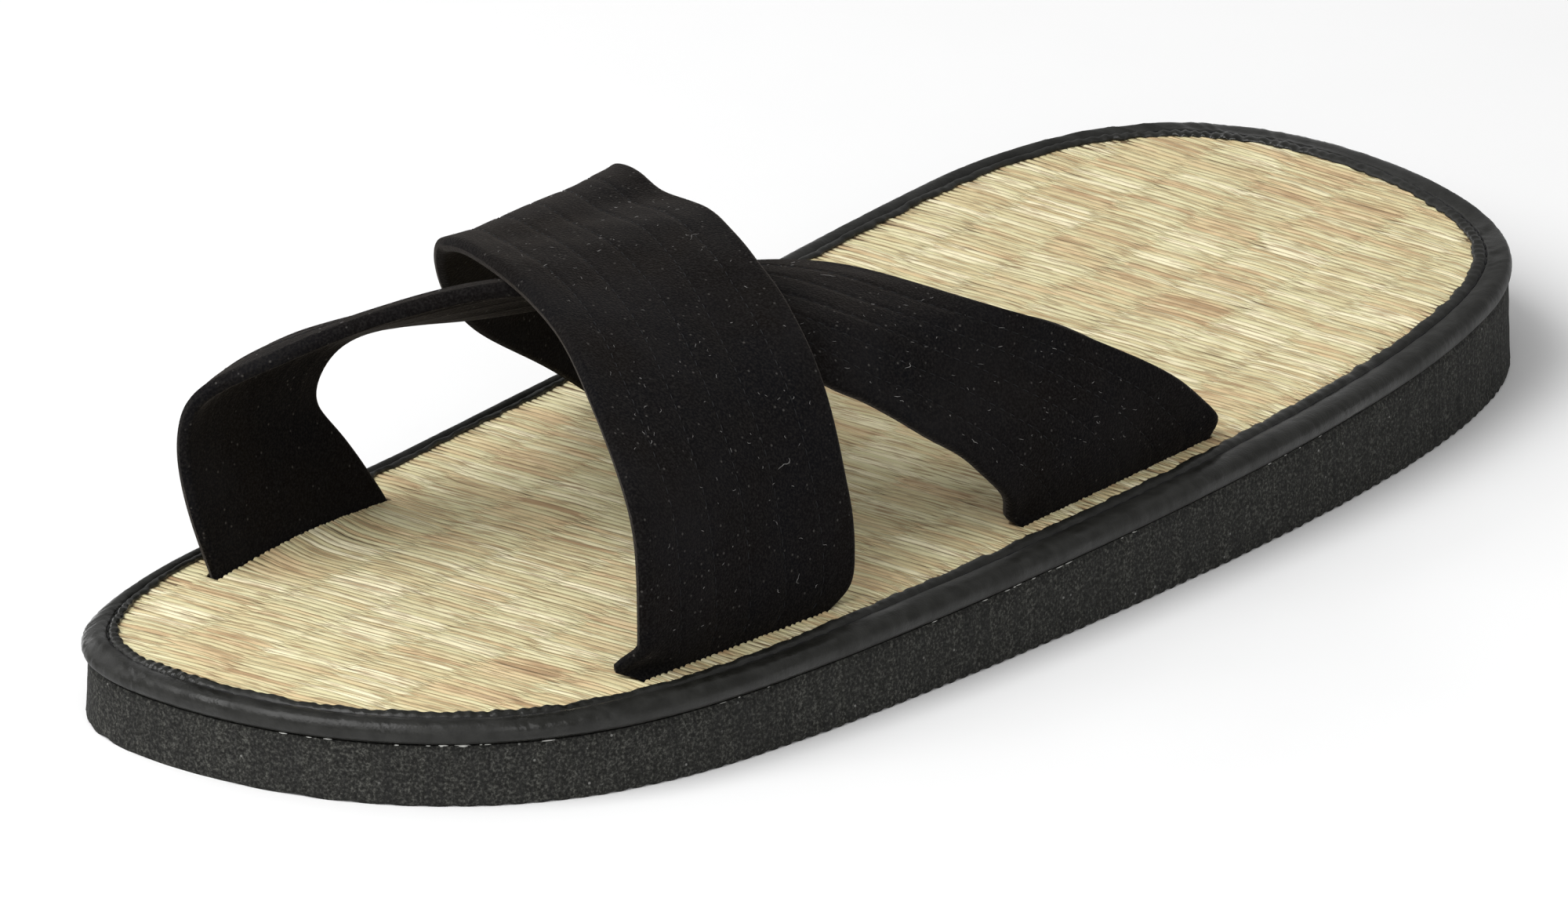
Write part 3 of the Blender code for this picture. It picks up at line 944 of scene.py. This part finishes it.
def strap_piece(name, front_rows, rear_rows, seed, pull, bows):
    """A strap, and what its stitches and lint need to lie on it."""
    front = strap_edge(front_rows)
    rear = strap_edge(rear_rows)
    shares = np.linspace(0.0, 1.0, FACE_COLUMNS)
    middle, out = strap_surface(front, rear, shares)
    width = np.linalg.norm(rear - front, axis=1)[:, None]
    reach = shares[None, :] * width
    middle = bowed(pulled_corner(middle, reach, pull), out, shares, bows)
    run = run_along((front + rear) / 2)
    side = np.minimum(reach, width - reach)
    half = STRAP_THICKNESS / 2
    round_in = half - np.sqrt(np.maximum(half**2 - np.maximum(half - side, 0.0) ** 2, 0.0))
    relief = strap_relief(shares, width, run, seed) * smooth(side, 0.0, EDGE_FADE)
    outer = middle - out * (round_in + relief)[:, :, None]
    inner = middle - out * (STRAP_THICKNESS - round_in + INNER_SHARE * relief)[:, :, None]
    loop = np.concatenate([outer, inner[:, ::-1]], axis=1)
    faces = tube_faces(len(front), loop.shape[1])
    item = add_piece(name, loop.reshape(-1, 3), faces, velvet, sharp=80)
    return item, {"middle": middle, "outer": outer, "out": out, "run": run, "seed": seed}


over, over_strap = strap_piece("strap_over", OVER_FRONT, OVER_REAR, 100, OVER_PULL, OVER_BOWS)
under_strap = strap_piece("strap_under", UNDER_FRONT, UNDER_REAR, 200, UNDER_PULL, UNDER_BOWS)[1]
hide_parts("upper")

# Rows of stitches in the tucks, and lint on the nap.
STITCH_PITCH = 2.0 * MM
STITCH_LENGTH = 1.3 * MM
STITCH_RADIUS = 0.11 * MM
STITCH_POINTS = 5
STITCH_SIDES = 4
STITCH_ARCH = 0.1 * MM
STITCH_SUNK = 0.05 * MM
ROW_START = 4.5 * MM
ROW_END = 5.5 * MM
LINT_HAIRS = 380
LINT_SIDES = 3
LINT_FROM = 8 * MM
LINT_TO = 12 * MM
LINT_ACROSS = (0.05, 0.92)
LINT_LIMITS = (0.03, 0.95)
LINT_LIFT = 0.06 * MM
LINT_TIP = 0.1 * MM
LINT_RADII = (0.025 * MM, 0.045 * MM)
LINT_CURL = 0.5
# The width that turns a hair's length across the strap into a share of it.
LINT_WIDTH = 38 * MM
# Lengths in millimetres with the number of points; one hair in so many is long.
SHORT_HAIR = (0.25, 1.1, 5)
LONG_HAIR = (1.8, 4.0, 11)
LONG_HAIR_EVERY = 21


def on_strap(grid, run, along, shares):
    """Values of a strap's grid at lengths along it and shares across it."""
    row = np.clip(np.interp(along, run, np.arange(len(run))), 0, len(run) - 1.001)
    column = np.clip(shares * (FACE_COLUMNS - 1), 0, FACE_COLUMNS - 1.001)
    i = row.astype(int)
    j = column.astype(int)
    u = (row - i)[:, None]
    v = (column - j)[:, None]
    first = grid[i, j] * (1 - v) + grid[i, j + 1] * v
    second = grid[i + 1, j] * (1 - v) + grid[i + 1, j + 1] * v
    return first * (1 - u) + second * u


def strap_path(strap, along, shares, lift):
    """A path on a strap's outer face, with its side and top ways."""
    path = on_strap(strap["outer"], strap["run"], along, shares)
    top_way = on_strap(strap["out"], strap["run"], along, shares)
    top_way /= np.linalg.norm(top_way, axis=1)[:, None]
    side_way = np.cross(np.gradient(path, axis=0), top_way)
    side_way /= np.linalg.norm(side_way, axis=1)[:, None]
    return path + top_way * lift[:, None], side_way, top_way


def strap_stitches_piece():
    lift = STITCH_ARCH * np.sin(np.pi * np.linspace(0, 1, STITCH_POINTS)) - STITCH_SUNK
    dashes = []
    for strap in (over_strap, under_strap):
        run = strap["run"]
        for index in range(TUCKS):
            line = tuck_line(index, run, strap["seed"])
            for first in np.arange(ROW_START, run[-1] - ROW_END, STITCH_PITCH):
                along = np.linspace(first, first + STITCH_LENGTH, STITCH_POINTS)
                shares = np.interp(along, run, line)
                dashes.append((*strap_path(strap, along, shares, lift), STITCH_RADIUS))
    add_dashes("strap_stitches", dashes, STITCH_SIDES, thread)


def strap_lint_piece():
    rng = np.random.default_rng(41)
    dashes = []
    for index in range(LINT_HAIRS):
        strap = (over_strap, under_strap)[index % 2]
        first = rng.uniform(LINT_FROM, strap["run"][-1] - LINT_TO)
        share = rng.uniform(*LINT_ACROSS)
        shortest, longest, steps = SHORT_HAIR if index % LONG_HAIR_EVERY else LONG_HAIR
        step = rng.uniform(shortest, longest) * MM / steps
        heading = rng.uniform(0, 2 * np.pi) + np.cumsum(rng.normal(0, LINT_CURL, steps))
        along = first + np.cumsum(np.cos(heading)) * step
        across = np.clip(share + np.cumsum(np.sin(heading)) * step / LINT_WIDTH, *LINT_LIMITS)
        lift = LINT_LIFT + LINT_TIP * rng.uniform(0, 1) * np.linspace(0, 1, steps)
        radius = rng.uniform(*LINT_RADII)
        dashes.append((*strap_path(strap, along, across, lift), radius))
    add_dashes("strap_lint", dashes, LINT_SIDES, lint)


strap_stitches_piece()
strap_lint_piece()

# The insole's rush cover: strands that float over and dip under in turn.
STRAND_PITCH = 0.56 * MM
STRAND_PITCH_SHARES = (0.75, 1.3)
STRAND_STEP = 1.9 * MM
STRAND_SECTION = np.array([(-1.0, 0.0), (-0.5, 0.85), (0.5, 0.85), (1.0, 0.0)])
STRAND_REACH = 56 * MM
STRAND_FINE = 0.1 * MM
STRAND_MARGIN = 4 * MM
STRAND_WAVE = 0.16 * MM
STRAND_DRIFT = 8 * MM
COURSE_DRIFT = 11 * MM
COURSE_TURN = 2.5
SHORTEST_PART = 6
TOE_TILT = 0.055
HEEL_TILT = -0.045
FLOAT_LENGTH = 13.6 * MM
FLOAT_START = 3.9 * MM
FLOAT_CELLS = 16
FLOAT_SHIFT = 0.7 * MM
FLOAT_NARROW = (0.6, 1.0)
FLOAT_FLATNESS = 2.0
FLOAT_DIP = 0.16 * MM
COVER_INSET = 4.4 * MM
COVER_TOP = 3.16 * MM
RIM_DROP = 0.12 * MM
RIM_DROP_INSETS = (1.5 * MM, 4.0 * MM)
SLOT_SIDE_CLEAR = 0.12 * MM
SLOT_END_CLEAR = 0.35 * MM
# Half the width of a strand as shares of its pitch, and its thickness: in the
# middle between a float and a dip, and what a float adds.
HALF_SHARES = (0.86, 0.28)
THICKNESSES = (0.32 * MM, 0.06 * MM)
# Tones of the floats, from brown to cream, and how often each turns up.
FLOAT_TONES = (0.05, 0.24, 0.42, 0.6, 0.82)
FLOAT_SHARES = (0.07, 0.15, 0.25, 0.29, 0.24)
TONE_SPREAD = 0.05
# A strand's tone is a base, a share of its float's own and one of its patch's.
TONE_BASE = 0.2
TONE_OWN = 0.62
TONE_PATCH = 0.2
PATCHES = 4.2 * MM
PATCH_START = 100 * MM
# Neighbouring strands lie this far apart in the fibres' noise.
LANE_STEP = 3.0
# Painted light and shade on a strand: how lit it is painted at its lowest, what its top adds, and the
# same for its floats.
TOP_LIGHT = (0.24, 0.76)
FLOAT_LIGHT = (0.6, 0.4)
# How far the weave's columns lean and bow along the sole.
COLUMN_LEAN = 0.0037
COLUMN_BOW = 0.34
# The cover swells where the under strap's far foot pushes it up.
SWELL = 1.3 * MM
SWELL_REACH = 4.5 * MM


def slot_lines():
    """Each strap foot's line through the insole, seen from above."""
    lines = []
    for strap in (over_strap, under_strap):
        for row in (0, -1):
            line = strap["middle"][row] - strap["out"][row] * STRAP_THICKNESS / 2
            lines.append((line[0, :2], line[-1, :2]))
    return lines


def in_slot(x, y, lines):
    hit = np.zeros(len(x), bool)
    for first, last in lines:
        way = last - first
        length = np.linalg.norm(way)
        way = way / length
        along = (x - first[0]) * way[0] + (y - first[1]) * way[1]
        off = np.abs((x - first[0]) * way[1] - (y - first[1]) * way[0])
        beyond = np.maximum(-along, along - length)
        hit |= (beyond < SLOT_END_CLEAR) & (off < STRAP_THICKNESS / 2 + SLOT_SIDE_CLEAR)
    return hit


def rim_sides(inset):
    """The outline moved in, as its two sides from toe to heel."""
    curve, out, run, around = outline(RIM_PATH_STEPS)
    rim = curve - out * (inset * rim_shape(run / around)[0])[:, None]
    rim = np.roll(rim, -int(rim[:, 1].argmin()), axis=0)
    heel = int(rim[:, 1].argmax())
    near = rim[: heel + 1]
    far = np.vstack([rim[heel:], rim[:1]])[::-1]
    return near[np.argsort(near[:, 1])], far[np.argsort(far[:, 1])]


def across_at(y, side):
    return np.interp(y, side[:, 1], side[:, 0])


def column_bow(y):
    """How far the weave's columns lie off the middle line, along the length."""
    return COLUMN_LEAN * y - COLUMN_BOW * y**2


def foot_swell(x, y, line):
    """How far the cover rises beside the under strap's far foot."""
    first, last = line
    share = np.clip((y - first[1]) / (last[1] - first[1]), 0.0, 1.0)
    off = x - (first[0] + (last[0] - first[0]) * share)
    return SWELL * np.sin(np.pi * share) * np.exp(-((off / SWELL_REACH) ** 2)) * (off > 0)


def strand_course(fine, middle, share, index):
    """A strand's way across the insole, tilted and a little wavy."""
    tilt = TOE_TILT + (HEEL_TILT - TOE_TILT) * share
    turn = np.pi * (fine - FLOAT_START) / FLOAT_LENGTH + COURSE_TURN * drift(middle, COURSE_DRIFT, 78)
    wave = np.sin(turn) + drift(fine + STRAND_REACH, STRAND_DRIFT, 300 + index)
    return middle + tilt * fine + STRAND_WAVE * wave


def strand_parts(fine, y, near, far, lines):
    """The stretches of a strand that lie within the rim and clear of the slots."""
    inside = (y > near[0, 1]) & (y < near[-1, 1])
    inside &= (fine < across_at(y, near)) & (fine > across_at(y, far))
    inside &= ~in_slot(fine, y, lines)
    parts = np.split(np.arange(len(fine)), np.nonzero(np.diff(inside.astype(int)))[0] + 1)
    return [part for part in parts if inside[part[0]] and len(part) > SHORTEST_PART]


def drawn_strand(rng, middle, pitch, index):
    """What chance gives a strand: its floats' tones, patches, widths and shift."""
    tones = rng.choice(FLOAT_TONES, FLOAT_CELLS, p=FLOAT_SHARES)
    tones = tones + rng.normal(0, TONE_SPREAD, FLOAT_CELLS)
    patch = [drift(middle + PATCH_START, PATCHES, 500 + column) for column in range(FLOAT_CELLS)]
    narrow = rng.uniform(*FLOAT_NARROW, FLOAT_CELLS)
    shift = rng.normal(0, FLOAT_SHIFT)
    return dict(index=index, pitch=pitch, tones=tones, patch=patch, narrow=narrow, shift=shift)


def strand_stretch(x, y, strand, near, far, foot):
    """One stretch of a strand: its points, and the marks that colour them, its painted shade among
    them.
    """
    index = strand["index"]
    sides = len(STRAND_SECTION)
    place = (x - column_bow(y) - FLOAT_START + strand["shift"]) / FLOAT_LENGTH + 0.5 + index
    up = np.tanh(FLOAT_FLATNESS * np.cos(np.pi * place)) / math.tanh(FLOAT_FLATNESS)
    cell = np.floor(place + 0.5).astype(int) % FLOAT_CELLS
    patch = np.array(strand["patch"])[(cell - index) % FLOAT_CELLS]
    tone = TONE_OWN * strand["tones"][cell] + TONE_BASE + TONE_PATCH * patch
    half = strand["pitch"] * (HALF_SHARES[0] + HALF_SHARES[1] * up) * strand["narrow"][cell]
    thick = THICKNESSES[0] + THICKNESSES[1] * up
    from_rim = np.minimum(x - across_at(y, far), across_at(y, near) - x)
    top = COVER_TOP - FLOAT_DIP * (1 - up) - RIM_DROP * (1 - smooth(from_rim, *RIM_DROP_INSETS))
    base = sole_top(y) + top + foot_swell(x, y, foot) - thick
    across = STRAND_SECTION[None, :, 0] * half[:, None]
    rise = STRAND_SECTION[None, :, 1]
    ring = np.empty((len(x), sides, 3))
    ring[:, :, 0] = x[:, None]
    ring[:, :, 1] = y[:, None] + across
    ring[:, :, 2] = base[:, None] + rise * thick[:, None]
    top_light = TOP_LIGHT[0] + TOP_LIGHT[1] * rise
    float_light = FLOAT_LIGHT[0] + FLOAT_LIGHT[1] * up
    marks = {
        "tone": np.repeat(tone, sides),
        # The depth mark carries painted shade: low on a strand's sides and where it dips under.
        "depth": (top_light * float_light[:, None]).reshape(-1),
        "lane": (LANE_STEP * index + across / MM).reshape(-1),
    }
    return ring.reshape(-1, 3), marks


def weave_piece():
    rng = np.random.default_rng(11)
    near, far = rim_sides(COVER_INSET)
    low = near[0, 1]
    high = near[-1, 1]
    lines = slot_lines()
    fine = np.arange(-STRAND_REACH, STRAND_REACH, STRAND_FINE)
    points = []
    faces = []
    marks = []
    start = 0
    middle = low - STRAND_MARGIN
    index = 0
    while middle < high + STRAND_MARGIN:
        pitch = STRAND_PITCH * rng.uniform(*STRAND_PITCH_SHARES)
        middle += pitch
        index += 1
        strand = drawn_strand(rng, middle, pitch, index)
        course = strand_course(fine, middle, (middle - low) / (high - low), index)
        for part in strand_parts(fine, course, near, far, lines):
            ends = fine[part[0]], fine[part[-1]]
            count = max(3, round((ends[1] - ends[0]) / STRAND_STEP))
            x = np.linspace(*ends, count)
            stretch, values = strand_stretch(x, np.interp(x, fine, course), strand, near, far, lines[2])
            points.append(stretch)
            faces += tube_faces(count, len(STRAND_SECTION), start)
            start += len(stretch)
            marks.append(values)
    joined = {label: np.concatenate([values[label] for values in marks]) for label in marks[0]}
    points = np.concatenate(points)
    add_piece("insole_rush_weave", points, faces, rush, sharp=75, marks=joined)


weave_piece()

# The insole's board keeps its solid, which shows between the strands.
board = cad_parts["insole"]
board.data.materials.clear()
board.data.materials.append(backing)

# The scene: a pale plain floor, soft light and the camera.
CAMERA_AZIMUTH = math.radians(38.7)
CAMERA_ELEVATION = math.radians(20.9)
CAMERA_DISTANCE = 4.0
LOOK_AT = Vector((-26.08 * MM, 17.74 * MM, 0.0))
LENS = 602.8
SENSOR_WIDTH = 36.0
FAR_LIMIT = 60.0
FLOOR_HALF = 8.0
WORLD_STRENGTH = 0.42
# Each light's name, its place, the point that it faces, its size and its power.
LIGHTS = (
    ("key_light", (-0.28, -0.94, 1.08), (0.0, -0.06, 0.0), (1.2, 1.2), 20.0),
    ("side_light", (-1.5, 0.1, 0.8), (0.0, -0.05, 0.0), (1.0, 0.5), 4.0),
    ("fill_light", (1.4, -1.4, 0.9), (0.0, 0.0, 0.0), (1.4, 1.0), 10.0),
)


def facing(way):
    return way.to_track_quat("-Z", "Y").to_euler()


def floor_piece():
    corners = [(-1, -1), (1, -1), (1, 1), (-1, 1)]
    mesh = bpy.data.meshes.new("floor")
    mesh.from_pydata([(x * FLOOR_HALF, y * FLOOR_HALF, 0.0) for x, y in corners], [], [(0, 1, 2, 3)])
    look = Look("floor", Roughness=0.9, Specular_IOR_Level=0.1)
    look.set(Base_Color=look.mix(look.noise(30.0), *FLOOR_SHADES))
    mesh.materials.append(look.made)
    item = add_object("floor", mesh)


def add_light(name, place, target, size, power):
    light = bpy.data.lights.new(name, "AREA")
    light.shape = "RECTANGLE"
    light.size, light.size_y = size
    light.energy = power
    item = add_object(name, light)
    item.location = place
    item.rotation_euler = facing(Vector(target) - Vector(place))


def add_camera():
    camera = bpy.data.cameras.new("camera")
    camera.lens = LENS
    camera.sensor_width = SENSOR_WIDTH
    camera.clip_end = FAR_LIMIT
    flat = math.cos(CAMERA_ELEVATION)
    across = math.sin(CAMERA_AZIMUTH) * flat
    along = -math.cos(CAMERA_AZIMUTH) * flat
    back = Vector((across, along, math.sin(CAMERA_ELEVATION)))
    item = add_object("camera", camera)
    item.location = LOOK_AT + back * CAMERA_DISTANCE
    item.rotation_euler = facing(-back)
    bpy.context.scene.camera = item


def set_world():
    world = bpy.data.worlds.new("world")
    world.use_nodes = True
    background = world.node_tree.nodes["Background"]
    background.inputs["Color"].default_value = (1.0, 1.0, 1.0, 1.0)
    background.inputs["Strength"].default_value = WORLD_STRENGTH
    bpy.context.scene.world = world
    bpy.context.scene.view_settings.view_transform = "Standard"


floor_piece()
for row in LIGHTS:
    add_light(*row)
add_camera()
set_world()
